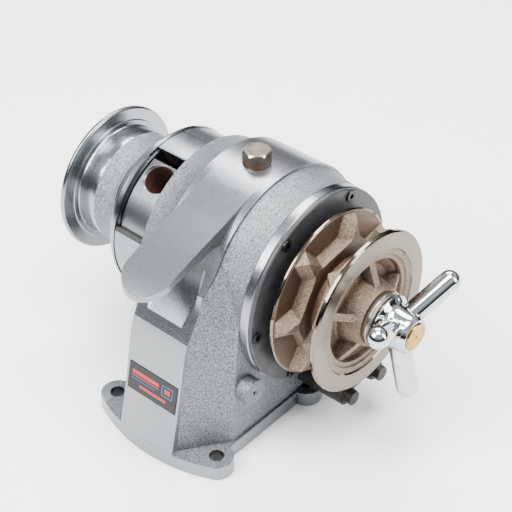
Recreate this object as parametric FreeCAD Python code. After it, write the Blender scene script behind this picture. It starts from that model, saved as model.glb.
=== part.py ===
import FreeCAD, Part
import math
import os
from FreeCAD import Vector

# A hand-worked anchor windlass.  Every piece is drawn about the shaft line (X), with
# the chain wheel towards +X, the operator towards -Y and the belt of the casting at
# x = 0.  save() then lifts the piece so that the part's origin is the centre of the
# four deck bolts, on the underside of the foot.

os.makedirs("parts", exist_ok=True)

# Shaft line above the deck, and behind the bolt centre
SHAFT_HEIGHT = 111.0
SHAFT_BEHIND_BOLTS = 52.0

# Fits
RUNNING = 0.05
CLEAR = 0.3
SEATED = 0.02

# Foot
FOOT_THICK = 12.0
FOOT_TOP = FOOT_THICK - SHAFT_HEIGHT
FOOT_HALF = 52.0
BOW_HALF, BOW_FRONT_Y, APRON_TOP = 56.0, -125.5, -67.0
FOOT_FRONT_Y = -113.0
FOOT_REAR_Y = 10.5
BOLT_HALF_X = 50.5
BOLT_HALF_Y = 50.0
BOLT_HOLE_R = 5.5
EAR_R = 12.5

# Main casting
BELT_HALF = 26.0
BELT_R = 80.0
BELT_PROUD = 1.8
GYPSY_FACE_X = 50.0
GYPSY_FACE_R = 74.8
CONE_EDGE_X = -48.6
CONE_EDGE_R = 72.7
SLEEVE_END_X = -81.2
SLEEVE_R = 66.0
CASE_BORE_R = 62.8
SHOULDER_R = 54.0
SHOULDER_X0 = -42.0
SHOULDER_X1 = 10.0
REAR_ANGLE = -42.0
TONGUE_HALF = 20.0
TONGUE_TIP_Y, TONGUE_CORNER_Y = -127.0, -111.5
SCOOP_HALF, SCOOP_CORNER_R = 21.5, 6.0

# Lever slot in the sleeve, as angles from +Y towards +Z
SLOT_X = -50.0
SLOT_TOP = 80.0
SLOT_BOTTOM = 165.8
SOCKET_ANGLE = 122.0
SOCKET_X = -65.3
SOCKET_R = 11.0
SOCKET_FLOOR_R = 34.4
SOCKET_WALL = 12.4
LEVER_R = 62.4
LEVER_TAIL = 226.0
LEVER_X0 = -79.2
LEVER_X1 = -51.0
LEVER_BACK = -7.5
STOP_REACH = 112.0
SEAL_ARC = 2.4

# Shaft
SHAFT_R = 12.5
SHAFT_X0, SHAFT_SHOULDER, SHAFT_THREAD, SHAFT_X1 = -137.5, -95.8, 116.0, 139.0
THREAD_R = 10.0
DRUM_SEAT_R = 11.0
BUSH_R = 16.0
KEY_WIDTH = 5.0

# Ratchets and pawls.  A pawl at rest rides just clear of the teeth and drops in by
# PAWL_DROP; its corners are given in the dropped state, as radius about the shaft line and
# angle from the direction of its pivot.
TEETH = 48
TIP_R = 36.0
ROOT_R = 33.0
FACE_ANGLE = 23.6
DRIVE_X0, DRIVE_X1 = -38.0, -27.0
HOLD_X0, HOLD_X1 = -14.0, -3.0
PIVOT_R = 46.0
PAWL_EYE_R = 6.0
PIN_R = 3.0
PAWL_ANGLES = (20.0, 200.0)
PAWL_DROP = 8.0
PAWL_CORNERS = [(33.87, 22.37), (36.9, 15.6), (40.4, 3.0), (51.5, 3.0), (47.0, 14.0), (39.0, 22.2)]

# Gypsy and clutch
POCKETS = 7
FIRST_LUG = 22.0
POCKET_X0, POCKET_X1 = 70.0, 101.0
POCKET_FLOOR_R = 44.0
GROOVE_X0, GROOVE_X1, GROOVE_R = 80.5, 90.5, 34.5
RIBS = 5
FIRST_RIB = 11.0
RIB_HALF = 2.8
HUB_ROOT_R, HUB_END_R = 26.0, 22.0
NUT_FLANGE_R = 20.8
ARM_ANGLE = 28.6
ARM_R = 8.0
ARM_ROOT_X = 128.0
ARM_TIP_X = 141.0
ARM_TIP_R = 46.6

# Covers
END_COVER_X0, END_COVER_X1, END_COVER_R = -85.0, -81.5, 66.7
END_HUB_X0, END_HUB_X1 = -94.0, -80.5
SIDE_COVER_X0, SIDE_COVER_X1 = 50.5, 57.0
SIDE_SPIGOT_X = 38.0
SIDE_HUB_X0, SIDE_HUB_X1 = 40.0, 58.6
RING_X1 = 60.0
RING_BORE_R = 52.0
COVER_SCREWS = [3.0 + 60 * i for i in range(6)]
COVER_SCREW_R = 69.0

# Fittings on the casting
BOSS_Y, BOSS_Z, BOSS_R, BOSS_FACE_X = -70.8, -54.3, 10.0, 60.0
LEVEL_PLUG_R = 3.0
PLUG_X, PLUG_Y, PLUG_SEAT_Z = 1.0, 0.0, 79.2
PLUG_THREAD_R = 7.0
POST_Y, POST_Z, POST_R = -2.0, -86.5, 8.5
FINGER_BOLT_Y, FINGER_BOLT_Z = 32.0, -86.0
LABEL_HALF, LABEL_TOP, LABEL_FOOT, LABEL_THICK = 23.5, -44.5, -66.5, 0.6


# ---------------------------------------------------------------- helpers
def polar(radius, degrees, x=0.0):
    turn = math.radians(degrees)
    return Vector(x, radius * math.cos(turn), radius * math.sin(turn))


def rod(x0, x1, radius, y=0.0, z=0.0):
    return Part.makeCylinder(radius, x1 - x0, Vector(x0, y, z), Vector(1, 0, 0))


def tube(x0, x1, outer, inner):
    return rod(x0, x1, outer).cut(rod(x0 - 1, x1 + 1, inner))


def turned(profile):
    """Body of revolution about the shaft line from (x, radius) corners."""
    points = [Vector(x, 0, r) for x, r in profile]
    face = Part.Face(Part.makePolygon(points + points[:1]))
    return face.revolve(Vector(), Vector(1, 0, 0), 360)


def plate(corners, x0, x1):
    """Slab between x0 and x1 whose outline has the given (y, z) corners."""
    points = [Vector(x0, y, z) for y, z in corners]
    face = Part.Face(Part.makePolygon(points + points[:1]))
    return face.extrude(Vector(x1 - x0, 0, 0))


def sector(x0, x1, inner, outer, a0, a1):
    """Ring segment from angle a0 to angle a1."""
    middle = (a0 + a1) / 2
    outside = Part.Arc(polar(outer, a0, x0), polar(outer, middle, x0), polar(outer, a1, x0))
    inside = Part.Arc(polar(inner, a1, x0), polar(inner, middle, x0), polar(inner, a0, x0))
    ends = [Part.makeLine(polar(outer, a1, x0), polar(inner, a1, x0)),
            Part.makeLine(polar(inner, a0, x0), polar(outer, a0, x0))]
    wire = Part.Wire([outside.toShape(), ends[0], inside.toShape(), ends[1]])
    return Part.Face(wire).extrude(Vector(x1 - x0, 0, 0))


def around(shape, degrees):
    turned_copy = shape.copy()
    turned_copy.rotate(Vector(), Vector(1, 0, 0), degrees)
    return turned_copy


def fused(shapes):
    return shapes[0].multiFuse(shapes[1:]).removeSplitter() if len(shapes) > 1 else shapes[0]


def key_block(x0, x1, seat_r, spare=0.0):
    """Key lying half in a shaft of radius seat_r, on the +Y side; spare widens it to its slot."""
    width = KEY_WIDTH + 2 * spare
    return Part.makeBox(x1 - x0 + 2 * spare, 4.2 + 2 * spare, width,
                        Vector(x0 - spare, seat_r - 2.5 - spare, -width / 2))


def hex_head(x0, x1, across_flats, y=0.0, z=0.0):
    """Hexagon head pointing along +X with the usual rounded-off corners at its outer end."""
    corner = across_flats / math.sqrt(3)
    flats = plate([(corner * math.cos(math.radians(a)), corner * math.sin(math.radians(a)))
                   for a in range(0, 360, 60)], x0, x1)
    dome = turned([(x0, 0), (x0, corner), (x1 - 0.16 * corner, corner), (x1, 0.86 * corner), (x1, 0)])
    head = flats.common(dome)
    head.translate(Vector(0, y, z))
    return head


def wound_spring(x0, x1, inner, wire):
    """Closely wound coil, drawn as its stack of turns."""
    turns = int((x1 - x0) / wire)
    outside = []
    for turn in range(turns):
        outside += [(x0 + turn * wire, inner + 0.7 * wire), (x0 + (turn + 0.5) * wire, inner + wire)]
    outside.append((x0 + turns * wire, inner + 0.7 * wire))
    return turned(outside + [(x0 + turns * wire, inner), (x0, inner)])


def save(node, shape):
    solid = shape.copy()
    solid.translate(Vector(0, SHAFT_BEHIND_BOLTS, SHAFT_HEIGHT))
    assert solid.isValid(), node
    solid.exportStep("parts/" + node + ".step")


# ---------------------------------------------------------------- main casting
# Front of the leg seen from the side, from the foot up to where it meets the belt
BELT_FRONT = [(-120.5, FOOT_TOP - 1), (-114.7, -65), (-109.8, -42), (-104.5, -17),
              (-95.5, 6), (-84, 25)]
BELT_FRONT_ANGLE = 150.0
# Front of the side walls where they meet the round faces
WALL_FRONT = [(-84, FOOT_TOP - 1), (-81.5, -65), (-79.6, -42), (-77.5, -17)]
WALL_FRONT_ANGLE = 176.0


def side_wire(x, radius, front, front_angle):
    """Closed outline of the casting in the plane at x."""
    foot_z = front[0][1]
    meet = polar(radius, front_angle, x)
    slope = math.radians(front_angle)
    leg = Part.BSplineCurve()
    leg.interpolate(Points=[Vector(x, y, z) for y, z in front] + [meet],
                    InitialTangent=Vector(0, 0.16, 1),
                    FinalTangent=Vector(0, math.sin(slope), -math.cos(slope)))
    rear = polar(radius, REAR_ANGLE, x)
    over = Part.Arc(meet, polar(radius, (front_angle + REAR_ANGLE) / 2, x), rear)
    heel = Vector(x, FOOT_REAR_Y, foot_z)
    return Part.Wire([leg.toShape(), over.toShape(), Part.makeLine(rear, heel),
                      Part.makeLine(heel, Vector(x, front[0][0], foot_z))])


def belt():
    wire = side_wire(-BELT_HALF, BELT_R, BELT_FRONT, BELT_FRONT_ANGLE)
    return Part.Face(wire).extrude(Vector(2 * BELT_HALF, 0, 0))


def flank(end_x, end_radius):
    """Sloping cast wall from the belt out to one round face."""
    side = math.copysign(1, end_x)
    near = [(y + BELT_PROUD, z) for y, z in BELT_FRONT]
    near_wire = side_wire(side * (BELT_HALF - 1), BELT_R - BELT_PROUD, near, BELT_FRONT_ANGLE)
    far_wire = side_wire(end_x, end_radius, WALL_FRONT, WALL_FRONT_ANGLE)
    return Part.makeLoft([near_wire, far_wire], True, True)


def through_x(half, top, rest):
    """Block of width 2 x half whose side outline is a smooth curve closed by straight lines."""
    curve = Part.BSplineCurve()
    curve.interpolate(Points=top)
    outline = [top[-1]] + rest + [top[0]]
    edges = [curve.toShape()] + [Part.makeLine(a, b) for a, b in zip(outline, outline[1:])]
    block = Part.Face(Part.Wire(edges)).extrude(Vector(2 * half, 0, 0))
    block.translate(Vector(-half, 0, 0))
    return block


def tongue():
    """Peak that runs forward off the top of the belt, thin and rounded at its tip."""
    tip_y = TONGUE_TIP_Y - 0.5
    start = polar(BELT_R, 100.8)
    root = Vector(0, -62, 52)
    top = Part.BSplineCurve()
    top.interpolate(Points=[start, Vector(0, -50, 67.6), Vector(0, -81, 57.8), Vector(0, -104, 49.6),
                            Vector(0, tip_y, 38.6)],
                    InitialTangent=Vector(0, -1, -0.19), FinalTangent=Vector(0, -1, -0.62))
    under = Part.BSplineCurve()
    under.interpolate(Points=[Vector(0, tip_y, 34.2), Vector(0, -104, 43.8), Vector(0, -80, 49.4), root],
                      InitialTangent=Vector(0, 1, 0.62), FinalTangent=Vector(0, 1, 0.1))
    inner = [root, Vector(0, -50, 48), Vector(0, -15, 66), start]
    edges = [top.toShape(), Part.makeLine(Vector(0, tip_y, 38.6), Vector(0, tip_y, 34.2)), under.toShape()]
    edges += [Part.makeLine(a, b) for a, b in zip(inner, inner[1:])]
    slab = Part.Face(Part.Wire(edges)).extrude(Vector(2 * TONGUE_HALF, 0, 0))
    slab.translate(Vector(-TONGUE_HALF, 0, 0))
    corner = Vector(TONGUE_HALF, TONGUE_CORNER_Y, 0)
    other = Vector(-TONGUE_HALF, TONGUE_CORNER_Y, 0)
    tip = Part.Arc(corner, Vector(0, TONGUE_TIP_Y, 0), other).toShape()
    back = [other, Vector(-TONGUE_HALF, 0, 0), Vector(TONGUE_HALF, 0, 0), corner]
    plan = Part.Face(Part.Wire([tip] + [Part.makeLine(a, b) for a, b in zip(back, back[1:])]))
    return slab.common(plan.extrude(Vector(0, 0, 100)))


def scoop():
    """Hollow below the tongue: a shallow dip right across the leg, and a deeper dish between its rims."""
    dip = through_x(BELT_HALF + 4, [Vector(0, -101.5, -9), Vector(0, -95.6, 1), Vector(0, -89.2, 12),
                                    Vector(0, -85.0, 26)], [Vector(0, -140, 26), Vector(0, -140, -9)])
    dish = through_x(SCOOP_HALF, [Vector(0, -96.8, -1), Vector(0, -87.5, 9), Vector(0, -79, 21),
                                  Vector(0, -73, 34), Vector(0, -67, 46)],
                     [Vector(0, -80, 60), Vector(0, -140, 60), Vector(0, -140, -1)])
    corners = [e for e in dish.Edges if isinstance(e.Curve, Part.BSplineCurve)]
    return dip.fuse(dish.makeFillet(SCOOP_CORNER_R, corners))


def bolt_places():
    middle = -SHAFT_BEHIND_BOLTS
    return [(sx * BOLT_HALF_X, middle + sy * BOLT_HALF_Y) for sx in (-1, 1) for sy in (-1, 1)]


def bow_face(half, end_y, middle_y, z):
    """Flat face bowed forward between two end points, with a straight back edge."""
    left, right = Vector(-half, end_y, z), Vector(half, end_y, z)
    back = [right, Vector(half, end_y + 12, z), Vector(-half, end_y + 12, z), left]
    front = Part.Arc(left, Vector(0, middle_y, z), right).toShape()
    return Part.Wire([front] + [Part.makeLine(a, b) for a, b in zip(back, back[1:])])


def foot():
    bottom = -SHAFT_HEIGHT
    slab = Part.makeBox(2 * FOOT_HALF, FOOT_REAR_Y - FOOT_FRONT_Y, FOOT_THICK,
                        Vector(-FOOT_HALF, FOOT_FRONT_Y, bottom))
    bow = Part.Face(bow_face(BOW_HALF, FOOT_FRONT_Y, BOW_FRONT_Y, bottom)).extrude(Vector(0, 0, FOOT_THICK))
    ears = [Part.makeCylinder(EAR_R, FOOT_THICK, Vector(x, y, bottom)) for x, y in bolt_places()]
    return fused([slab, bow] + ears)


def apron():
    """Foot of the leg's front, which swells forward to meet the bowed edge of the foot."""
    rise = BOW_FRONT_Y - FOOT_FRONT_Y
    bow_r = (BOW_HALF ** 2 + rise ** 2) / (2 * abs(rise))
    side_y = BOW_FRONT_Y + bow_r - math.sqrt(bow_r ** 2 - BELT_HALF ** 2)
    low = bow_face(BELT_HALF, side_y, BOW_FRONT_Y, FOOT_TOP - 0.5)
    high = bow_face(BELT_HALF, -114.9, -115.1, APRON_TOP)
    return Part.makeLoft([low, high], True, True)


def housing():
    body = fused([belt(), flank(GYPSY_FACE_X, GYPSY_FACE_R), flank(CONE_EDGE_X, CONE_EDGE_R), foot(), apron(),
                  rod(SLEEVE_END_X, CONE_EDGE_X + 1, SLEEVE_R)])
    body = body.cut(scoop())
    body = fused([body, tongue(), rod(30, BOSS_FACE_X, BOSS_R, BOSS_Y, BOSS_Z)])
    cavity = turned([(SLEEVE_END_X - 1, 0), (SLEEVE_END_X - 1, CASE_BORE_R), (SHOULDER_X0, CASE_BORE_R),
                     (SHOULDER_X0, SHOULDER_R), (SHOULDER_X1, SHOULDER_R), (SHOULDER_X1, CASE_BORE_R),
                     (GYPSY_FACE_X + 1, CASE_BORE_R), (GYPSY_FACE_X + 1, 0)])
    slot = sector(SLEEVE_END_X - 1, SLOT_X, 50, 72, SLOT_TOP, SLOT_BOTTOM)
    cuts = [cavity, slot]
    cuts += [Part.makeCylinder(BOLT_HOLE_R, FOOT_THICK + 2, Vector(x, y, -SHAFT_HEIGHT - 1))
             for x, y in bolt_places()]
    cuts.append(Part.makeCylinder(10.5, 20, Vector(PLUG_X, PLUG_Y, PLUG_SEAT_Z)))
    cuts.append(Part.makeCylinder(PLUG_THREAD_R, 40, Vector(PLUG_X, PLUG_Y, 50)))
    cuts.append(rod(BOSS_FACE_X - 7, BOSS_FACE_X + 1, LEVEL_PLUG_R, BOSS_Y, BOSS_Z))
    cuts += [rod(GYPSY_FACE_X - 12, GYPSY_FACE_X + 1, 2.5, p.y, p.z)
             for p in (polar(COVER_SCREW_R, a) for a in COVER_SCREWS)]
    cuts += [rod(SHOULDER_X1 - 12, SHOULDER_X1 + 1, 2.0, p.y, p.z) for p in plate_screw_places()]
    cuts.append(rod(GYPSY_FACE_X - 18, GYPSY_FACE_X + 1, 4.0, POST_Y, POST_Z))
    return body.cut(cuts[0].multiFuse(cuts[1:]))


def label():
    """Thin plate that follows the front of the leg."""
    skin = belt()
    skin.translate(Vector(0, -LABEL_THICK, 0))
    area = Part.makeBox(2 * LABEL_HALF, 40, LABEL_TOP - LABEL_FOOT, Vector(-LABEL_HALF, -135, LABEL_FOOT))
    return skin.cut(belt()).common(area)


# ---------------------------------------------------------------- covers and fittings
def end_cover():
    return turned([(END_HUB_X0, BUSH_R + SEATED), (END_HUB_X0, 20), (END_HUB_X0 + 1, 21),
                   (END_COVER_X0, 21), (END_COVER_X0, END_COVER_R - 1), (END_COVER_X0 + 1, END_COVER_R),
                   (END_COVER_X1, END_COVER_R), (END_COVER_X1, CASE_BORE_R - RUNNING),
                   (END_HUB_X1, CASE_BORE_R - RUNNING), (END_HUB_X1, BUSH_R + SEATED)])


def stop_block():
    """Fills the top end of the slot; its flat lower face stops the lever socket."""
    panel = sector(SLEEVE_END_X, SLOT_X, CASE_BORE_R, SLEEVE_R, SLOT_TOP + 0.3, STOP_REACH)
    nose = sector(LEVER_X0, LEVER_X1 - 0.5 - CLEAR, 50, CASE_BORE_R + 0.5, STOP_REACH - 14, STOP_REACH)
    swept = Part.makeBox(60, 60, 80, Vector(-100, 20, -SOCKET_WALL - CLEAR))
    return fused([panel, nose]).cut(around(swept, SOCKET_ANGLE + LEVER_BACK))


def slot_seal():
    """Rubber lip that wipes the lever ring at the low end of the slot."""
    return sector(SLEEVE_END_X, SLOT_X, CASE_BORE_R, SLEEVE_R - 0.2, SLOT_BOTTOM - SEAL_ARC, SLOT_BOTTOM)


def side_cover():
    shape = turned([(SIDE_SPIGOT_X, 55), (SIDE_SPIGOT_X, CASE_BORE_R - RUNNING),
                    (SIDE_COVER_X0, CASE_BORE_R - RUNNING), (SIDE_COVER_X0, GYPSY_FACE_R),
                    (SIDE_COVER_X1 - 0.6, GYPSY_FACE_R), (SIDE_COVER_X1, GYPSY_FACE_R - 0.6),
                    (SIDE_COVER_X1, 24), (SIDE_HUB_X1, 22), (SIDE_HUB_X1, BUSH_R + SEATED),
                    (SIDE_HUB_X0, BUSH_R + SEATED), (SIDE_HUB_X0, 24), (44, 27), (44, 52)])
    return shape.cut(cover_screw_holes(3.0))


def cover_screw_holes(radius):
    holes = [rod(GYPSY_FACE_X - 2, RING_X1 + 1, radius, p.y, p.z)
             for p in (polar(COVER_SCREW_R, a) for a in COVER_SCREWS)]
    return holes[0].multiFuse(holes[1:])


def retaining_ring():
    ring = turned([(SIDE_COVER_X1, RING_BORE_R), (SIDE_COVER_X1, GYPSY_FACE_R - 0.6),
                   (RING_X1 - 0.8, GYPSY_FACE_R - 0.6), (RING_X1, GYPSY_FACE_R - 1.4),
                   (RING_X1, RING_BORE_R)])
    seats = [rod(RING_X1 - 2, RING_X1 + 1, 4.6, p.y, p.z)
             for p in (polar(COVER_SCREW_R, a) for a in COVER_SCREWS)]
    return ring.cut(cover_screw_holes(3.0)).cut(seats[0].multiFuse(seats[1:]))


def cover_screws():
    """Socket-head screws through the ring and the cover into the casting."""
    screws = []
    for angle in COVER_SCREWS:
        p = polar(COVER_SCREW_R, angle)
        head = rod(RING_X1 - 2, RING_X1 + 1.4, 4.3, p.y, p.z)
        shank = rod(GYPSY_FACE_X - 10, RING_X1 - 1.5, 2.45, p.y, p.z)
        socket = hex_head(RING_X1 - 1, RING_X1 + 2, 4.0, p.y, p.z)
        screws.append(head.fuse(shank).cut(socket))
    return screws


def filler_plug():
    head = hex_head(0, 10.5, 18.0)
    plug = head.fuse(rod(-22, 0.5, PLUG_THREAD_R - RUNNING))
    plug.rotate(Vector(), Vector(0, 1, 0), -90)
    plug.rotate(Vector(), Vector(0, 0, 1), 12)
    plug.translate(Vector(PLUG_X, PLUG_Y, PLUG_SEAT_Z + 1.0))
    return plug


def plug_washer():
    seat = Vector(PLUG_X, PLUG_Y, PLUG_SEAT_Z)
    return Part.makeCylinder(10.2, 1.0, seat).cut(Part.makeCylinder(PLUG_THREAD_R, 1.0, seat))


def level_plug():
    plug = rod(BOSS_FACE_X - 7, BOSS_FACE_X - 0.4, LEVEL_PLUG_R - SEATED, BOSS_Y, BOSS_Z)
    return plug.cut(hex_head(BOSS_FACE_X - 3, BOSS_FACE_X + 1, 3.0, BOSS_Y, BOSS_Z))


# ---------------------------------------------------------------- chain stripper
def stripper_bracket():
    arm = [rod(78, 84, POST_R, POST_Y, POST_Z), rod(78, 84, POST_R, FINGER_BOLT_Y, FINGER_BOLT_Z),
           plate([(POST_Y, POST_Z - POST_R), (FINGER_BOLT_Y, FINGER_BOLT_Z - POST_R),
                  (FINGER_BOLT_Y, FINGER_BOLT_Z + POST_R), (POST_Y, POST_Z + POST_R)], 78, 84),
           rod(GYPSY_FACE_X, 90, POST_R, POST_Y, POST_Z)]
    holes = rod(40, 95, 3.5, POST_Y, POST_Z).fuse(rod(70, 95, 3.5, FINGER_BOLT_Y, FINGER_BOLT_Z))
    return fused(arm).cut(holes)


def stripper_finger():
    eye = rod(84, 89.6, POST_R, FINGER_BOLT_Y, FINGER_BOLT_Z)
    blade = plate([(FINGER_BOLT_Y - 8, FINGER_BOLT_Z), (FINGER_BOLT_Y + 8, FINGER_BOLT_Z + 2),
                   (33, -64), (17.5, -44.5), (12, -46.5), (21, -64)], 84, 89.6)
    return fused([eye, blade]).cut(rod(70, 95, 3.5, FINGER_BOLT_Y, FINGER_BOLT_Z))


def stripper_washers():
    spots = [(90.0, POST_Y, POST_Z), (89.6, FINGER_BOLT_Y, FINGER_BOLT_Z)]
    return [rod(x, x + 1.2, 7.0, y, z).cut(rod(x - 1, x + 2, 3.6, y, z)) for x, y, z in spots]


def stripper_bolts():
    post = hex_head(91.2, 96.7, 11.0, POST_Y, POST_Z).fuse(rod(36, 92, 3.4, POST_Y, POST_Z))
    finger = hex_head(90.8, 96.3, 11.0, FINGER_BOLT_Y, FINGER_BOLT_Z)
    return [post, finger.fuse(rod(74, 92, 3.4, FINGER_BOLT_Y, FINGER_BOLT_Z))]


# ---------------------------------------------------------------- ratchet drive
def ratchet(x0, x1):
    """Saw-toothed wheel keyed to the shaft; the steep faces look towards the pawls."""
    step = 360.0 / TEETH
    first = FACE_ANGLE + PAWL_ANGLES[0]
    corners = []
    for tooth in range(TEETH):
        at = first + tooth * step
        corners.append(polar(ROOT_R, at))
        corners.append(polar(TIP_R, at + 0.4))
    wheel = plate([(p.y, p.z) for p in corners], x0, x1).fuse(rod(x0, x1, ROOT_R - 1))
    wheel = wheel.removeSplitter().cut(rod(x0 - 1, x1 + 1, SHAFT_R + SEATED))
    return wheel.cut(key_block(x0 - 2, x1 + 2, SHAFT_R, SEATED))


def pawl(x0, x1, angle):
    corners = [polar(r, a) for r, a in PAWL_CORNERS]
    blade = plate([(p.y, p.z) for p in corners], x0, x1)
    body = fused([blade, rod(x0, x1, PAWL_EYE_R, PIVOT_R, 0)])
    body = body.cut(rod(x0 - 1, x1 + 1, PIN_R + RUNNING, PIVOT_R, 0))
    body.rotate(Vector(0, PIVOT_R, 0), Vector(1, 0, 0), -PAWL_DROP)
    return around(body, angle)


def pawl_pins(shank_x0, shank_x1, head_x0, head_x1):
    pins = []
    for angle in PAWL_ANGLES:
        p = polar(PIVOT_R, angle)
        pins.append(rod(shank_x0, shank_x1, PIN_R, p.y, p.z).fuse(rod(head_x0, head_x1, 4.6, p.y, p.z)))
    return pins


def pawl_springs(x0, x1):
    springs = []
    for angle in PAWL_ANGLES:
        spring = wound_spring(x0, x1, PIN_R + CLEAR, 1.0)
        p = polar(PIVOT_R, angle)
        spring.translate(Vector(0, p.y, p.z))
        springs.append(spring)
    return springs


def plate_screw_places():
    return [polar(58.4, a) for a in (45, 135, 225, 315)]


def pawl_plate():
    disc = tube(SHOULDER_X1, SHOULDER_X1 + 7, CASE_BORE_R - RUNNING, 18)
    holes = [rod(SHOULDER_X1 - 1, SHOULDER_X1 + 8, 2.2, p.y, p.z) for p in plate_screw_places()]
    holes += [rod(SHOULDER_X1 - 1, SHOULDER_X1 + 8, PIN_R + SEATED, p.y, p.z)
              for p in (polar(PIVOT_R, a) for a in PAWL_ANGLES)]
    return disc.cut(holes[0].multiFuse(holes[1:]))


def plate_screws():
    return [rod(SHOULDER_X1 + 7, SHOULDER_X1 + 10, 3.8, p.y, p.z).fuse(
            rod(SHOULDER_X1 - 10, SHOULDER_X1 + 7.5, 1.95, p.y, p.z)) for p in plate_screw_places()]


def lever_hub():
    core = rod(LEVER_X0, LEVER_X1 + 5.5, 30)
    flange = rod(LEVER_X1 - 0.5, LEVER_X1 + 5.5, 53)
    block = around(Part.makeBox(LEVER_X1 - LEVER_X0, 50, SOCKET_WALL + 15,
                                Vector(LEVER_X0, 20, -SOCKET_WALL)), SOCKET_ANGLE)
    block = block.common(rod(LEVER_X0, LEVER_X1, LEVER_R))
    rim = sector(LEVER_X0, LEVER_X1, 55, LEVER_R, SOCKET_ANGLE + 8, LEVER_TAIL)
    web = sector(-70, -60, 28, 56, SOCKET_ANGLE + 8, LEVER_TAIL)
    body = fused([core, flange, block, rim, web])
    bore = Part.makeCylinder(SOCKET_R, 40, Vector(SOCKET_X, SOCKET_FLOOR_R, 0), Vector(0, 1, 0))
    mouth = Part.makeCone(SOCKET_R, SOCKET_R + 3, 3, Vector(SOCKET_X, LEVER_R - 1.9, 0), Vector(0, 1, 0))
    body = body.cut(around(bore.fuse(mouth), SOCKET_ANGLE))
    body = body.cut(rod(LEVER_X0 - 1, LEVER_X1 + 8, BUSH_R + SEATED))
    pin_holes = [rod(LEVER_X1 - 2, LEVER_X1 + 8, PIN_R + SEATED, p.y, p.z)
                 for p in (polar(PIVOT_R, a) for a in PAWL_ANGLES)]
    return body.cut(pin_holes[0].fuse(pin_holes[1]))


# ---------------------------------------------------------------- shaft and drum
KEYS = {"drum_key": (-128.0, -104.0, DRUM_SEAT_R), "ratchet_key": (-37.5, -3.5, SHAFT_R),
        "inner_clutch_key": (62.0, 73.0, SHAFT_R), "outer_clutch_key": (100.0, 114.0, SHAFT_R)}


def main_shaft():
    shaft = turned([(SHAFT_X0, 0), (SHAFT_X0, DRUM_SEAT_R - 1), (SHAFT_X0 + 1, DRUM_SEAT_R),
                    (SHAFT_SHOULDER, DRUM_SEAT_R), (SHAFT_SHOULDER, SHAFT_R), (SHAFT_THREAD - 1, SHAFT_R),
                    (SHAFT_THREAD, THREAD_R), (SHAFT_X1 - 1, THREAD_R), (SHAFT_X1, THREAD_R - 1),
                    (SHAFT_X1, 0)])
    slots = [key_block(x0, x1, seat, SEATED) for x0, x1, seat in KEYS.values()]
    slots.append(rod(SHAFT_X0 - 1, SHAFT_X0 + 22, 5.05))
    return shaft.cut(slots[0].multiFuse(slots[1:]))


def warping_drum():
    waist = Part.BSplineCurve()
    waist.interpolate([Vector(x, 0, r) for x, r in
                       [(-124.4, 45.4), (-118, 42.6), (-111, 41.4), (-104, 43.6), (-97, 50), (-91.5, 60)]])
    corners = [(-91.5, 60), (-90, 62), (-87.5, 62), (-86.5, 61), (-86.5, 56), (-91, 50.5), (-98, 43),
               (-106, 37), (-112, 36), (-130, 38), (-134, 34), (-134, 18), (-96, 18),
               (-96, DRUM_SEAT_R + SEATED), (-138, DRUM_SEAT_R + SEATED), (-138, 24), (-148, 27),
               (-148, 57.7), (-146.8, 59.2), (-144.6, 59.2), (-143.4, 58), (-142.2, 49.6),
               (-141.4, 49.2), (-141.4, 45.6), (-139.4, 44.9), (-124.4, 45.4)]
    points = [Vector(x, 0, r) for x, r in corners]
    edges = [waist.toShape()] + [Part.makeLine(a, b) for a, b in zip(points, points[1:])]
    drum = Part.Face(Part.Wire(edges)).revolve(Vector(), Vector(1, 0, 0), 360)
    return drum.cut(key_block(*KEYS["drum_key"], SEATED))


def drum_screw():
    screw = hex_head(0, 7, 17.0).fuse(rod(-21, 0.5, 5.0))
    screw.rotate(Vector(), Vector(0, 0, 1), 180)
    screw.translate(Vector(-141, 0, 0))
    return screw


# ---------------------------------------------------------------- gypsy and clutch
def polyhedron(corners, faces):
    shell = Part.Shell([Part.Face(Part.makePolygon([corners[i] for i in f + f[:1]])) for f in faces])
    solid = Part.Solid(shell)
    if solid.Volume < 0:
        solid.reverse()
    return solid


def chain_lug(wall_x, groove_x):
    """Faceted tooth between two pockets: broad on the flange, narrow at the groove."""
    tip_x = groove_x + 0.25 * (wall_x - groove_x)
    corners = []
    for turn in (1, -1):
        corners += [polar(62.3, 6.6 * turn, wall_x), polar(45.2, 12.3 * turn, wall_x),
                    polar(36.0, 12.3 * turn, wall_x), polar(46.9, 5.2 * turn, groove_x),
                    polar(36.0, 5.2 * turn, groove_x)]
    corners.append(polar(60.0, 0, tip_x))
    faces = [[0, 5, 10], [0, 1, 2, 7, 6, 5], [2, 4, 9, 7], [3, 8, 10], [3, 4, 9, 8],
             [0, 10, 3], [0, 3, 1], [1, 3, 4], [1, 4, 2], [5, 8, 10], [5, 6, 8], [6, 9, 8], [6, 7, 9]]
    return polyhedron(corners, faces)


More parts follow.
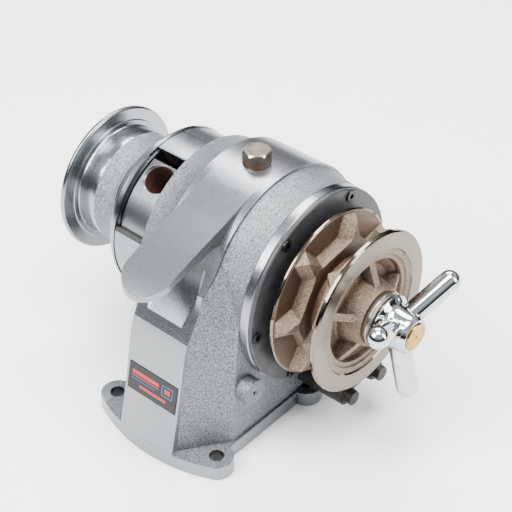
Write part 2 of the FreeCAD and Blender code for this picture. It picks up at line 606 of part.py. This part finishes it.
def gypsy():
    wheel = turned([(67, 30.27), (67, 63), (68, 64), (69.2, 64), (POCKET_X0, 63.2), (POCKET_X0, 40),
                    (GROOVE_X0, 40), (GROOVE_X0, GROOVE_R), (GROOVE_X1, GROOVE_R), (GROOVE_X1, 40),
                    (POCKET_X1, 40), (POCKET_X1, 60.5), (POCKET_X1 + 0.8, 62), (104, 62), (105, 61),
                    (105, 49), (103.6, 48), (103.6, 44), (102.2, 43), (102.2, HUB_ROOT_R + 2),
                    (113, HUB_ROOT_R + 2), (113, 19.6), (98.6, 15.9), (98.6, 15.02),
                    (74.4, 15.02), (74.4, 27.7)])
    step = 360.0 / POCKETS
    floor_corner_r = POCKET_FLOOR_R / math.cos(math.radians(step / 2))
    outline = [polar(floor_corner_r, FIRST_LUG + i * step) for i in range(POCKETS)]
    floors = plate([(p.y, p.z) for p in outline], POCKET_X0 - 0.5, POCKET_X1 + 0.5)
    floors = floors.cut(rod(POCKET_X0 - 1, POCKET_X1 + 1, 39)).cut(tube(GROOVE_X0, GROOVE_X1, 60, 30))
    lugs = [around(chain_lug(wall_x, groove_x), FIRST_LUG + i * step) for i in range(POCKETS)
            for wall_x, groove_x in ((POCKET_X0 - 0.5, GROOVE_X0), (POCKET_X1 + 0.5, GROOVE_X1))]
    dish = turned([(114, HUB_END_R), (114, 41.5), (103, 41.5), (101.9, 40), (98.5, 38.8), (94.5, 33),
                   (94.5, HUB_ROOT_R + 1.5), (96, HUB_ROOT_R)])
    rib = Part.Face(Part.makePolygon([Vector(93.5, 23, -RIB_HALF), Vector(93.5, 39.5, -RIB_HALF),
                                      Vector(100.5, 39.5, -RIB_HALF), Vector(109, 21.5, -RIB_HALF),
                                      Vector(93.5, 23, -RIB_HALF)]))
    ribs = [around(rib.extrude(Vector(0, 0, 2 * RIB_HALF)), FIRST_RIB + i * 360.0 / RIBS)
            for i in range(RIBS)]
    nicks = [sector(66, POCKET_X0 + 0.3, 62.2, 70, 158, 168), sector(66, POCKET_X0 + 0.3, 61.4, 70, 38.5, 44)]
    body = fused([wheel, floors] + lugs).cut(dish)
    return fused([body] + ribs).cut(nicks[0].fuse(nicks[1]))


def inner_clutch():
    cone = turned([(61, SHAFT_R + SEATED), (61, 20), (63.6, 20.5), (63.6, 30.3), (64.4, 30.8), (74, 27.5),
                   (74, SHAFT_R + SEATED)])
    return cone.cut(key_block(60, 76, SHAFT_R, SEATED))


def outer_clutch():
    cone = turned([(99, SHAFT_R + RUNNING), (99, 15.65), (113.4, 19.25), (113.4, NUT_FLANGE_R - 0.4),
                   (114, NUT_FLANGE_R + 0.2), (116.6, NUT_FLANGE_R + 0.2), (117, NUT_FLANGE_R - 0.2),
                   (117, SHAFT_R + RUNNING)])
    return cone.cut(key_block(98, 119, SHAFT_R, RUNNING))


def clutch_nut():
    hub = turned([(119.3, 0), (119.3, NUT_FLANGE_R - 0.8), (120, NUT_FLANGE_R),
                  (121.6, NUT_FLANGE_R), (122.4, NUT_FLANGE_R - 0.8), (124.5, 16.6),
                  (126, 15.6), (140.6, 14.2), (143.6, 12.4), (143.6, 0)])
    arms = []
    for i in range(3):
        root = Vector(ARM_ROOT_X, 0, 0)
        tip = polar(ARM_TIP_R, ARM_ANGLE + 120 * i, ARM_TIP_X)
        along = tip - root
        arms.append(Part.makeCylinder(ARM_R, along.Length, root, along))
        arms.append(Part.makeSphere(ARM_R, tip))
    nut = fused([hub] + arms)
    return nut.cut(rod(119, 141.6, THREAD_R + RUNNING)).cut(rod(141.5, 144, 10.52))


def nut_cap():
    return turned([(141.5, 0), (141.5, 10.5), (144.2, 10.5), (144.8, 9.9), (144.8, 1.6), (143.6, 0.8),
                   (143.6, 0)])


save("main_housing", housing())
save("label_plate", label())
save("end_cover", end_cover())
save("end_gasket", tube(END_COVER_X1, SLEEVE_END_X, SLEEVE_R - 0.2, CASE_BORE_R).cut(
    sector(END_COVER_X0, SLOT_X, 50, 72, SLOT_TOP, SLOT_BOTTOM)))
save("lever_stop_block", stop_block())
save("slot_seal", slot_seal())
save("side_cover", side_cover())
save("cover_gasket", tube(GYPSY_FACE_X, SIDE_COVER_X0, GYPSY_FACE_R - 0.3, CASE_BORE_R).cut(
    cover_screw_holes(3.0)))
save("retaining_ring", retaining_ring())
save("cover_screws", Part.makeCompound(cover_screws()))
save("filler_plug", filler_plug())
save("plug_washer", plug_washer())
save("level_plug", level_plug())
save("stripper_bracket", stripper_bracket())
save("stripper_finger", stripper_finger())
save("stripper_washers", Part.makeCompound(stripper_washers()))
save("stripper_bolts", Part.makeCompound(stripper_bolts()))
save("pawl_plate", pawl_plate())
save("pawl_plate_screws", Part.makeCompound(plate_screws()))
save("holding_pawl_pins", Part.makeCompound(pawl_pins(HOLD_X0 - 1.5, SHOULDER_X1 + 7, HOLD_X0 - 2.7,
                                                      HOLD_X0 - 1.2)))
save("holding_pawl_springs", Part.makeCompound(pawl_springs(HOLD_X1 + 1, SHOULDER_X1 - 1)))
for number, angle in enumerate(PAWL_ANGLES, start=1):
    save("holding_pawl_%d" % number, pawl(HOLD_X0 + CLEAR, HOLD_X1, angle))
    save("drive_pawl_%d" % number, pawl(DRIVE_X0, DRIVE_X1 - CLEAR, angle))
save("drive_pawl_pins", Part.makeCompound(pawl_pins(LEVER_X1 + 0.5, DRIVE_X1 + 1.2, DRIVE_X1 + 0.2,
                                                    DRIVE_X1 + 1.7)))
save("drive_pawl_springs", Part.makeCompound(pawl_springs(LEVER_X1 + 6.5, DRIVE_X0 - 1)))
save("lever_hub", lever_hub())
save("lever_bush", tube(LEVER_X0, LEVER_X1 + 5.5, BUSH_R, SHAFT_R + RUNNING))
save("drive_ratchet", ratchet(DRIVE_X0, DRIVE_X1))
save("holding_ratchet", ratchet(HOLD_X0, HOLD_X1))
save("shaft_spacers", Part.makeCompound([tube(LEVER_X1 + 5.8, DRIVE_X0, 18, SHAFT_R + SEATED),
                                         tube(DRIVE_X1, HOLD_X0, 18, SHAFT_R + SEATED).cut(
                                             key_block(-30, -10, SHAFT_R, SEATED)),
                                         tube(HOLD_X1, SIDE_HUB_X0 - CLEAR, 16, SHAFT_R + SEATED)]))
save("main_shaft", main_shaft())
for node, (x0, x1, seat) in KEYS.items():
    save(node, key_block(x0, x1, seat))
save("drum_side_bush", tube(END_HUB_X0 + 4.2, END_HUB_X1, BUSH_R, SHAFT_R + RUNNING))
save("drum_side_seal", tube(END_HUB_X0, END_HUB_X0 + 4, BUSH_R, SHAFT_R + RUNNING))
save("gypsy_side_bush", tube(SIDE_HUB_X0, SIDE_HUB_X1 - 4.6, BUSH_R, SHAFT_R + RUNNING))
save("gypsy_side_seal", tube(SIDE_HUB_X1 - 4.2, SIDE_HUB_X1 - 0.2, BUSH_R, SHAFT_R + RUNNING))
save("warping_drum", warping_drum())
save("drum_end_washer", tube(-141, -138, 21, 5.3))
save("drum_end_screw", drum_screw())
save("inner_clutch_cone", inner_clutch())
save("chain_gypsy", gypsy())
save("gypsy_bush", tube(74.6, 98.4, 15.0, SHAFT_R + RUNNING))
save("outer_clutch_cone", outer_clutch())
save("thrust_washer", tube(117, 119, NUT_FLANGE_R - 0.8, THREAD_R + RUNNING))
save("clutch_nut", clutch_nut())
save("nut_end_cap", nut_cap())
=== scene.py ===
import bpy
import math
from mathutils import Matrix, Vector

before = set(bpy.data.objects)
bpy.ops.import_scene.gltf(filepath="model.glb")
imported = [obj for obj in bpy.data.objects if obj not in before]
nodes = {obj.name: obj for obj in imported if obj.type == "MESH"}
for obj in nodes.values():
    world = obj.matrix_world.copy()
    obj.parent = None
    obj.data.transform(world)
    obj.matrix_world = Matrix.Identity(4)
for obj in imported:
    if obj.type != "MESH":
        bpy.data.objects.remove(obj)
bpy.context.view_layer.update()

MM = 0.001

# Shaft line in the row frame: it runs along X through (0, SHAFT_Y, SHAFT_Z)
SHAFT_Y = 52 * MM
SHAFT_Z = 111 * MM

# Deck bolts, and where one finish of the casting gives way to the next
BOLT_X, BOLT_Y = 50.5 * MM, 50 * MM
BOLT_HOLE_R = 5.7 * MM
FOOT_TOP = 12 * MM
FOOT_EDGE_TOP = 10.9 * MM
BELT_HALF = 25.7 * MM
SLEEVE_X = -49.3 * MM

# Rope barrel of the drum, between its two polished ends
BARREL_X0, BARREL_X1 = -124.6 * MM, -107.4 * MM

# Lever socket: its plane along the shaft, the way it points from +Y towards +Z, bore and floor
SOCKET_X = -65.3 * MM
SOCKET_ANGLE = math.radians(122)
SOCKET_BORE_R = 11.1 * MM
SOCKET_FLOOR = 33 * MM


# ---------------------------------------------------------------- shader building blocks
class Graph:
    """Short names for building one material's node tree."""

    def __init__(self, name):
        self.material = bpy.data.materials.new(name)
        self.material.use_nodes = True
        self.tree = self.material.node_tree
        self.tree.nodes.clear()
        self.shader = self.node("ShaderNodeBsdfPrincipled")
        out = self.node("ShaderNodeOutputMaterial")
        self.link(self.shader.outputs["BSDF"], out.inputs["Surface"])
        place = self.node("ShaderNodeTexCoord")
        self.object = place.outputs["Object"]

    def node(self, kind, **settings):
        made = self.tree.nodes.new(kind)
        for key, value in settings.items():
            setattr(made, key, value)
        return made

    def link(self, source, target):
        self.tree.links.new(source, target)

    def feed(self, target, value):
        """Puts a number, colour or output into an input."""
        if isinstance(value, bpy.types.NodeSocket):
            self.link(value, target)
        else:
            target.default_value = value

    def math(self, operation, a, b=0.0, c=0.0):
        made = self.node("ShaderNodeMath", operation=operation)
        for socket, value in zip(made.inputs, (a, b, c)):
            self.feed(socket, value)
        return made.outputs[0]

    def mix(self, factor, a, b):
        """Colour that goes from a to b."""
        made = self.node("ShaderNodeMix", data_type="RGBA")
        self.feed(made.inputs[0], factor)
        self.feed(made.inputs[6], a)
        self.feed(made.inputs[7], b)
        return made.outputs[2]

    def blend(self, factor, a, b):
        """Number that goes from a to b."""
        made = self.node("ShaderNodeMix", data_type="FLOAT")
        self.feed(made.inputs[0], factor)
        self.feed(made.inputs[2], a)
        self.feed(made.inputs[3], b)
        return made.outputs[0]

    def ramp(self, value, low, high, out_low=0.0, out_high=1.0):
        """Smooth step from out_low at low to out_high at high."""
        made = self.node("ShaderNodeMapRange", clamp=True)
        made.interpolation_type = "SMOOTHSTEP"
        for socket, number in zip(made.inputs, (value, low, high, out_low, out_high)):
            self.feed(socket, number)
        return made.outputs[0]

    def past(self, value, edge, width):
        """1 past an edge in mm and 0 before it, turning over width; a negative width is below it."""
        return self.ramp(value, edge * MM, (edge + width) * MM)

    def product(self, first, *others):
        for other in others:
            first = self.math("MULTIPLY", first, other)
        return first

    def largest(self, first, *others):
        for other in others:
            first = self.math("MAXIMUM", first, other)
        return first

    def noise(self, scale, detail=3.0, roughness=0.55, where=None):
        made = self.node("ShaderNodeTexNoise")
        self.link(where or self.object, made.inputs["Vector"])
        made.inputs["Scale"].default_value = scale
        made.inputs["Detail"].default_value = detail
        made.inputs["Roughness"].default_value = roughness
        return made.outputs["Fac"]

    def cells(self, scale):
        made = self.node("ShaderNodeTexVoronoi")
        self.link(self.object, made.inputs["Vector"])
        made.inputs["Scale"].default_value = scale
        return made

    def bump(self, height, distance, strength):
        made = self.node("ShaderNodeBump")
        made.inputs["Strength"].default_value = strength
        made.inputs["Distance"].default_value = distance
        self.link(height, made.inputs["Height"])
        return made.outputs[0]

    def xyz(self):
        """The three object coordinates."""
        parts = self.node("ShaderNodeSeparateXYZ")
        self.link(self.object, parts.inputs[0])
        return parts.outputs[0], parts.outputs[1], parts.outputs[2]

    def length(self, a, b):
        squares = self.math("ADD", self.math("MULTIPLY", a, a), self.math("MULTIPLY", b, b))
        return self.math("SQRT", squares)

    def from_shaft(self):
        """x along the shaft, the distance from its line, and the y and z offsets from it."""
        x, y, z = self.xyz()
        off_y = self.math("SUBTRACT", y, SHAFT_Y)
        off_z = self.math("SUBTRACT", z, SHAFT_Z)
        return x, self.length(off_y, off_z), off_y, off_z

    def turning_marks(self, x_scale, r_scale):
        """Fine lathe marks: noise over x and radius only."""
        x, radius, _, _ = self.from_shaft()
        joined = self.node("ShaderNodeCombineXYZ")
        self.link(self.math("MULTIPLY", x, x_scale), joined.inputs[0])
        self.link(self.math("MULTIPLY", radius, r_scale), joined.inputs[1])
        return self.noise(1.0, 4.0, 0.6, joined.outputs[0])

    def surface(self, colour=None, rough=None, metallic=None, normal=None):
        for name, value in (("Base Color", colour), ("Roughness", rough),
                            ("Metallic", metallic), ("Normal", normal)):
            if value is not None:
                self.feed(self.shader.inputs[name], value)
        return self.material


def grey(value, warm=0.0):
    """Neutral tone; a negative warm makes it bluer."""
    return (value * (1 + warm), value, value * (1 - warm), 1.0)


# ---------------------------------------------------------------- materials
def cast_pattern(g, dark, light, cloud_tone):
    """Colour, roughness and height of sand-cast metal: coarse and fine grains."""
    coarse = g.cells(1800)
    fine = g.cells(3600)
    cloud = g.noise(30, 4.0)
    fleck = g.math("MULTIPLY_ADD", g.ramp(coarse.outputs["Color"], 0.1, 0.9), 0.6,
                   g.math("MULTIPLY", g.ramp(fine.outputs["Color"], 0.1, 0.9), 0.4))
    tone = g.mix(g.ramp(fleck, 0.1, 0.9), dark, light)
    tone = g.mix(g.ramp(cloud, 0.35, 0.8, 0.0, 0.4), tone, cloud_tone)
    rough = g.blend(fleck, 0.3, 0.58)
    height = g.math("ADD", g.math("MULTIPLY", coarse.outputs["Distance"], -1.0),
                    g.math("MULTIPLY", fine.outputs["Distance"], -0.6))
    return tone, rough, height


def darker(tone, share):
    return tuple(share * c for c in tone[:3]) + (1.0,)


def satin_pattern(g, tone, rough):
    """Colour, roughness and height of blasted and anodised alloy."""
    cloud = g.noise(16, 4.0)
    fine = g.noise(2600, 2.0, 0.6)
    colour = g.mix(g.ramp(cloud, 0.3, 0.75), tone, darker(tone, 0.88))
    return colour, g.blend(g.ramp(fine, 0.3, 0.7), rough - 0.05, rough + 0.06), fine


def two_normals(g, factor, first, second):
    mixed = g.node("ShaderNodeMix", data_type="VECTOR")
    g.feed(mixed.inputs[0], factor)
    g.link(first, mixed.inputs[4])
    g.link(second, mixed.inputs[5])
    return mixed.outputs[1]


def in_bolt_hole(g):
    """1 inside the deck bolts' holes, 0 elsewhere."""
    x, y, z = g.xyz()
    off_x = g.math("SUBTRACT", g.math("ABSOLUTE", x), BOLT_X)
    off_y = g.math("SUBTRACT", g.math("ABSOLUTE", y), BOLT_Y)
    near = g.ramp(g.length(off_x, off_y), BOLT_HOLE_R + 0.2 * MM, BOLT_HOLE_R)
    return g.math("MULTIPLY", near, g.ramp(z, FOOT_TOP + 0.1 * MM, FOOT_TOP - 0.1 * MM))


def housing_material():
    """Sloping walls sand-cast; belt, tongue, leg and foot edge satin; sleeve machined; painted shade in
    the deck bolts' holes.
    """
    g = Graph("housing_alloy")
    x, _, z = g.xyz()
    foot_edge = g.ramp(z, FOOT_EDGE_TOP + 0.4 * MM, FOOT_EDGE_TOP)
    belt = g.ramp(g.math("ABSOLUTE", x), BELT_HALF + 0.5 * MM, BELT_HALF)
    sleeve = g.ramp(x, SLEEVE_X + 0.4 * MM, SLEEVE_X)
    smooth = g.math("MAXIMUM", g.math("MAXIMUM", belt, sleeve), foot_edge)
    cast_tone, cast_rough, cast_height = cast_pattern(g, grey(0.045, -0.05), grey(0.32, -0.05),
                                                      grey(0.14, -0.07))
    satin_tone, satin_rough, satin_height = satin_pattern(g, grey(0.235, -0.06), 0.27)
    normal = two_normals(g, smooth, g.bump(cast_height, 0.0003, 0.6),
                         g.bump(satin_height, 0.00003, 0.2))
    # Painted shade: inside the deck bolts' holes the colour is near-black grey(0.05).
    colour = g.mix(in_bolt_hole(g), g.mix(smooth, cast_tone, satin_tone), grey(0.05))
    return g.surface(colour, g.blend(smooth, cast_rough, satin_rough), 0.92, normal)


def machined_material(name, tone, rough=0.26):
    g = Graph(name)
    marks = g.turning_marks(2600, 5200)
    cloud = g.noise(30, 3.0)
    colour = g.mix(g.ramp(marks, 0.3, 0.7), darker(tone, 0.86), tone)
    value = g.blend(g.ramp(cloud, 0.3, 0.7), rough - 0.05, rough + 0.08)
    return g.surface(colour, value, 1.0, g.bump(marks, 0.00004, 0.3))


def drum_material():
    """Polished flanges, with a grainy barrel for the rope to grip."""
    g = Graph("drum_alloy")
    x, _, _ = g.xyz()
    barrel = g.math("MULTIPLY", g.ramp(x, BARREL_X0, BARREL_X0 + 0.4 * MM),
                    g.ramp(x, BARREL_X1, BARREL_X1 - 0.5 * MM))
    cast_tone, cast_rough, cast_height = cast_pattern(g, grey(0.05, -0.05), grey(0.38, -0.05),
                                                      grey(0.17, -0.06))
    marks = g.turning_marks(1800, 3200)
    polish = g.mix(g.ramp(marks, 0.3, 0.7), grey(0.23, -0.05), grey(0.33, -0.05))
    normal = two_normals(g, barrel, g.bump(marks, 0.00003, 0.2), g.bump(cast_height, 0.0004, 0.7))
    return g.surface(g.mix(barrel, polish, cast_tone), g.blend(barrel, 0.2, cast_rough), 0.97, normal)


def in_lever_socket(g):
    """1 on the wall and floor of the lever socket's bore, 0 elsewhere."""
    x, _, y, z = g.from_shaft()
    sine, cosine = math.sin(SOCKET_ANGLE), math.cos(SOCKET_ANGLE)
    across = g.math("ADD", g.math("MULTIPLY", y, -sine), g.math("MULTIPLY", z, cosine))
    along = g.math("ADD", g.math("MULTIPLY", y, cosine), g.math("MULTIPLY", z, sine))
    radius = g.length(across, g.math("SUBTRACT", x, SOCKET_X))
    return g.math("MULTIPLY", g.ramp(radius, SOCKET_BORE_R + 0.15 * MM, SOCKET_BORE_R),
                  g.ramp(along, SOCKET_FLOOR, SOCKET_FLOOR + 1 * MM))


def lever_material():
    """Turned satin alloy, with dark red-brown inside the lever socket."""
    g = Graph("lever_alloy")
    bore = in_lever_socket(g)
    marks = g.turning_marks(900, 3000)
    # Dark red-brown inside the lever socket's bore.
    bore_red_brown = g.mix(g.noise(420, 4.0), (0.035, 0.014, 0.010, 1), (0.10, 0.045, 0.032, 1))
    tone = g.mix(g.ramp(marks, 0.25, 0.75), grey(0.22, -0.05), grey(0.30, -0.05))
    return g.surface(g.mix(bore, tone, bore_red_brown), g.blend(bore, 0.27, 0.6), g.blend(bore, 1.0, 0.25),
                     g.bump(marks, 0.00003, 0.3))


def gypsy_material():
    """Cast nickel-bronze with painted brown shade on pocket walls, groove and dish; outer rim and face
    polished.
    """
    g = Graph("gypsy_nickel_bronze")
    x, radius, _, _ = g.from_shaft()
    face = g.product(g.past(x, 103.6, 0.3), g.past(radius, 42.7, 0.4))
    outer_rim = g.product(g.past(x, 101.3, 0.3), g.past(radius, 60.9, 0.4))
    inner_rim = g.past(radius, 63.2, 0.3)
    polished = g.largest(face, outer_rim, inner_rim)
    tone, value, height = cast_pattern(g, (0.07, 0.048, 0.034, 1), (0.37, 0.29, 0.22, 1),
                                       (0.19, 0.14, 0.10, 1))
    # Painted shade: pocket walls, groove and dish are tinted dark brown where shade falls in them.
    wall = g.product(g.past(x, 70.9, -0.7), g.past(radius, 62.9, -0.7))
    groove = g.product(g.past(radius, 43.5, -3.5), g.past(x, 92.5, -1.0))
    dish = g.product(g.past(x, 102.6, -4.6), g.past(radius, 42.6, -1.6), g.past(x, 93.2, 0.4))
    shade = g.largest(g.math("MULTIPLY", wall, 0.62), g.math("MULTIPLY", groove, 0.8),
                      g.math("MULTIPLY", dish, 0.5))
    tone = g.mix(shade, tone, (0.10, 0.058, 0.04, 1))
    marks = g.turning_marks(1500, 2600)
    polish = g.mix(g.ramp(marks, 0.3, 0.7), (0.14, 0.112, 0.088, 1), (0.20, 0.162, 0.13, 1))
    normal = two_normals(g, polished, g.bump(height, 0.0004, 0.6), g.bump(marks, 0.00003, 0.2))
    flat = g.product(g.past(x, 104.85, 0.1), face)
    shine = g.blend(flat, 0.1, 0.26)
    return g.surface(g.mix(polished, tone, polish), g.blend(polished, value, shine), 1.0, normal)


def chrome_material():
    g = Graph("bright_chrome")
    smear = g.noise(70, 4.0)
    fine = g.noise(900, 2.0)
    return g.surface(g.mix(g.ramp(smear, 0.3, 0.8), grey(0.52, -0.03), grey(0.42, -0.03)),
                     g.blend(g.ramp(smear, 0.35, 0.75), 0.04, 0.10), 1.0, g.bump(fine, 0.00001, 0.12))


def plated_material(name, light, dark, rough):
    """Turned or plated metal with slight staining."""
    g = Graph(name)
    stain = g.noise(160, 4.0)
    fine = g.noise(2400, 2.0)
    return g.surface(g.mix(g.ramp(stain, 0.35, 0.75), light, dark),
                     g.blend(g.ramp(fine, 0.3, 0.7), rough - 0.04, rough + 0.08), 1.0,
                     g.bump(fine, 0.00003, 0.3))


def coated_material(name, tone, rough, metallic=0.3, grain=1400, depth=0.00008):
    """Painted, blackened or moulded surface with a fine orange-peel."""
    g = Graph(name)
    peel = g.noise(grain, 3.0)
    dust = g.noise(90, 4.0)
    light = tuple(min(1.0, 1.6 * c + 0.01) for c in tone[:3]) + (1.0,)
    return g.surface(g.mix(g.ramp(dust, 0.4, 0.85), tone, light),
                     g.blend(g.ramp(peel, 0.3, 0.7), rough - 0.06, rough + 0.1), metallic,
                     g.bump(peel, depth, 0.4))


def label_material():
    """Glossy black plate with plain coloured bars and one square, no lettering."""
    g = Graph("label_print")
    x, _, z = g.xyz()

    def bar(x0, x1, z0, z1):
        """1 inside a rectangle given in mm, with a soft edge."""
        edge = 0.12
        return g.product(g.past(x, x0, edge), g.past(x, x1, -edge),
                         g.past(z, z0, edge), g.past(z, z1, -edge))

    tone = (0.006, 0.006, 0.008, 1)
    red, orange, blue = (0.40, 0.025, 0.018, 1), (0.45, 0.07, 0.02, 1), (0.02, 0.08, 0.28, 1)
    bars = [((-20, 6, 58.5, 61.5), red), ((-20, 6, 56.6, 57.2), orange), ((-20, 3, 54.0, 54.6), blue),
            ((-12, 14, 49, 51.2), red), ((9, 19.5, 54, 62.8), blue), ((9.7, 18.8, 54.7, 62.1), tone),
            ((11.5, 17, 56.5, 60.3), red)]
    colour = tone
    for box, paint in bars:
        colour = g.mix(bar(*box), colour, paint)
    fine = g.noise(1500, 2.0)
    g.shader.inputs["Specular IOR Level"].default_value = 0.25
    return g.surface(colour, g.blend(g.ramp(fine, 0.3, 0.7), 0.3, 0.42), 0.0, g.bump(fine, 0.00002, 0.2))


def floor_material():
    g = Graph("pale_floor")
    fine = g.noise(35, 3.0)
    return g.surface(g.mix(fine, grey(0.90), grey(0.93)), 0.8, 0.0)


MATERIALS = {
    "housing": housing_material(),
    "machined": machined_material("machined_alloy", grey(0.29, -0.05), 0.22),
    "cover": machined_material("cover_alloy", grey(0.25, -0.05), 0.28),
    "drum": drum_material(),
    "lever": lever_material(),
    "gypsy": gypsy_material(),
    "chrome": chrome_material(),
    "brass": plated_material("turned_brass", (0.48, 0.27, 0.07, 1), (0.32, 0.16, 0.04, 1), 0.2),
    "plug": plated_material("plug_nickel", (0.40, 0.33, 0.27, 1), (0.28, 0.21, 0.16, 1), 0.16),
    "steel": plated_material("ground_steel", (0.42, 0.42, 0.43, 1), (0.31, 0.31, 0.32, 1), 0.28),
    "bronze": plated_material("bearing_bronze", (0.70, 0.47, 0.24, 1), (0.52, 0.33, 0.16, 1), 0.32),
    "clutch": plated_material("clutch_nickel", (0.50, 0.47, 0.44, 1), (0.38, 0.34, 0.30, 1), 0.16),
    "black": coated_material("black_ring_finish", (0.030, 0.030, 0.033, 1), 0.42),
    "screws": coated_material("black_oxide", (0.022, 0.022, 0.024, 1), 0.3, 0.8, 2200, 0.00003),
    # Stripper parts: near-black, partly their dark metal and partly painted shade from the gypsy above
    # them.
    "dark_shaded_metal": coated_material("dark_metal_painted_shade", (0.026, 0.024, 0.022, 1), 0.45, 0.7, 1100, 0.00016),
    "rubber": coated_material("black_rubber", (0.018, 0.018, 0.018, 1), 0.6, 0.0),
    "label": label_material(),
}

FINISH = {
    "main_housing": "housing", "lever_stop_block": "cover", "end_cover": "machined",
    "side_cover": "machined", "retaining_ring": "black", "cover_screws": "screws",
    "label_plate": "label", "end_gasket": "rubber", "cover_gasket": "rubber",
    "filler_plug": "plug", "plug_washer": "plug", "level_plug": "cover",
    "stripper_bracket": "dark_shaded_metal", "stripper_finger": "dark_shaded_metal", "stripper_washers": "dark_shaded_metal",
    "stripper_bolts": "dark_shaded_metal", "lever_hub": "lever", "warping_drum": "drum",
    "chain_gypsy": "gypsy", "outer_clutch_cone": "clutch", "inner_clutch_cone": "bronze",
    "thrust_washer": "steel", "clutch_nut": "chrome", "nut_end_cap": "brass",
    "lever_bush": "bronze", "drum_side_bush": "bronze", "gypsy_side_bush": "bronze",
    # slot_seal is a black rubber strip at the lower end of the lever slot, standing in as painted shade on
    # that slot edge.
    "gypsy_bush": "bronze", "drum_side_seal": "rubber", "gypsy_side_seal": "rubber", "slot_seal": "rubber",
}


def dress(node, finish):
    ob = nodes[node]
    ob.data.materials.clear()
    ob.data.materials.append(MATERIALS[finish])


for node in nodes:
    dress(node, FINISH.get(node, "steel"))


# ---------------------------------------------------------------- softened CAD edges
def soften(node, width):
    """Rounds the sharp edges of a CAD solid without touching its own mesh."""
    ob = nodes[node]
    weld = ob.modifiers.new("weld", "WELD")
    weld.merge_threshold = 0.00001
    bevel = ob.modifiers.new("edge", "BEVEL")
    bevel.width = width
    bevel.segments = 2
    bevel.limit_method = "ANGLE"
    bevel.angle_limit = math.radians(30)
    for polygon in ob.data.polygons:
        polygon.use_smooth = True
    normals = ob.modifiers.new("normals", "WEIGHTED_NORMAL")
    normals.keep_sharp = True


# Bevel widths in mm
EDGES = {"main_housing": 0.7, "chain_gypsy": 0.45, "lever_hub": 0.3, "lever_stop_block": 0.3,
         "filler_plug": 0.5, "stripper_bracket": 0.5, "stripper_finger": 0.5, "stripper_bolts": 0.4,
         "retaining_ring": 0.3, "clutch_nut": 0.8, "warping_drum": 0.4, "outer_clutch_cone": 0.3}
for node, width in EDGES.items():
    soften(node, width * MM)


# ---------------------------------------------------------------- floor, light and camera
OBJECT_MIDDLE = Vector((0, 0.03, 0.09))
FLOOR_HALF = 4.0
FLOOR_DROP = 0.0005


def make_floor():
    mesh = bpy.data.meshes.new("floor")
    corners = [(x * FLOOR_HALF, y * FLOOR_HALF, 0) for x, y in ((-1, -1), (1, -1), (1, 1), (-1, 1))]
    mesh.from_pydata(corners, [], [(0, 1, 2, 3)])
    floor = bpy.data.objects.new("floor", mesh)
    bpy.context.scene.collection.objects.link(floor)
    floor.location = (0, 0, -FLOOR_DROP)
    mesh.materials.append(floor_material())


def view_back(azimuth, elevation):
    """Unit vector from the object towards a viewer; azimuth 0 is the front, 90 the +X side."""
    a, e = math.radians(azimuth), math.radians(elevation)
    return Vector((math.sin(a) * math.cos(e), -math.cos(a) * math.cos(e), math.sin(e)))


def area_light(name, azimuth, elevation, distance, size, power):
    """Soft box aimed at the middle of the object."""
    back = view_back(azimuth, elevation)
    light = bpy.data.lights.new(name, "AREA")
    light.shape = "RECTANGLE"
    light.size, light.size_y = size
    light.energy = power
    ob = bpy.data.objects.new(name, light)
    bpy.context.scene.collection.objects.link(ob)
    ob.location = OBJECT_MIDDLE + back * distance
    ob.rotation_mode = "QUATERNION"
    ob.rotation_quaternion = (-back).to_track_quat("-Z", "Y")


def make_world():
    """Studio tent: bright overhead, darker towards the horizon so polished metal has contrast."""
    world = bpy.data.worlds.new("studio")
    world.use_nodes = True
    tree = world.node_tree
    background = tree.nodes["Background"]
    place = tree.nodes.new("ShaderNodeTexCoord")
    parts = tree.nodes.new("ShaderNodeSeparateXYZ")
    ramp = tree.nodes.new("ShaderNodeValToRGB")
    tree.links.new(place.outputs["Generated"], parts.inputs[0])
    tree.links.new(parts.outputs[2], ramp.inputs[0])
    tree.links.new(ramp.outputs[0], background.inputs["Color"])
    stops = [(0.0, 0.03), (0.20, 0.05), (0.40, 0.40), (0.62, 1.0), (0.85, 0.55), (1.0, 0.9)]
    ramp.color_ramp.elements[0].position = stops[0][0]
    ramp.color_ramp.elements[0].color = grey(stops[0][1], -0.03)
    ramp.color_ramp.elements[1].position = stops[-1][0]
    ramp.color_ramp.elements[1].color = grey(stops[-1][1], -0.03)
    for position, value in stops[1:-1]:
        ramp.color_ramp.elements.new(position).color = grey(value, -0.03)
    background.inputs["Strength"].default_value = 1.2
    bpy.context.scene.world = world


# Camera: a turn about Z, a height above the horizon, a roll, the point aimed at, and the
# offsets from it to the right, up and back
CAMERA_AZIMUTH = 41.64
CAMERA_ELEVATION = 38.28
CAMERA_ROLL = -0.51
CAMERA_AIM = Vector((-50.1, 52.0, 30.9)) * MM
CAMERA_OFFSET = Vector((36.54, 39.36, 1136.58)) * MM
CAMERA_LENS = 101.77


def make_camera():
    back = view_back(CAMERA_AZIMUTH, CAMERA_ELEVATION)
    a, r = math.radians(CAMERA_AZIMUTH), math.radians(CAMERA_ROLL)
    flat_right = Vector((math.cos(a), math.sin(a), 0))
    flat_up = back.cross(flat_right)
    right = math.cos(r) * flat_right + math.sin(r) * flat_up
    up = -math.sin(r) * flat_right + math.cos(r) * flat_up
    data = bpy.data.cameras.new("camera")
    data.lens = CAMERA_LENS
    data.sensor_width = 36.0
    camera = bpy.data.objects.new("camera", data)
    bpy.context.scene.collection.objects.link(camera)
    axes = Matrix((right, up, back)).transposed().to_4x4()
    place = CAMERA_AIM + right * CAMERA_OFFSET.x + up * CAMERA_OFFSET.y + back * CAMERA_OFFSET.z
    camera.matrix_world = Matrix.Translation(place) @ axes
    bpy.context.scene.camera = camera


make_floor()
make_world()
area_light("key", -20, 48, 1.5, (0.9, 0.9), 48)
area_light("fill", 110, 30, 1.6, (0.5, 1.2), 22)
area_light("back", 215, 55, 1.6, (1.0, 0.6), 36)
area_light("top", 60, 82, 1.5, (0.8, 0.8), 48)
make_camera()
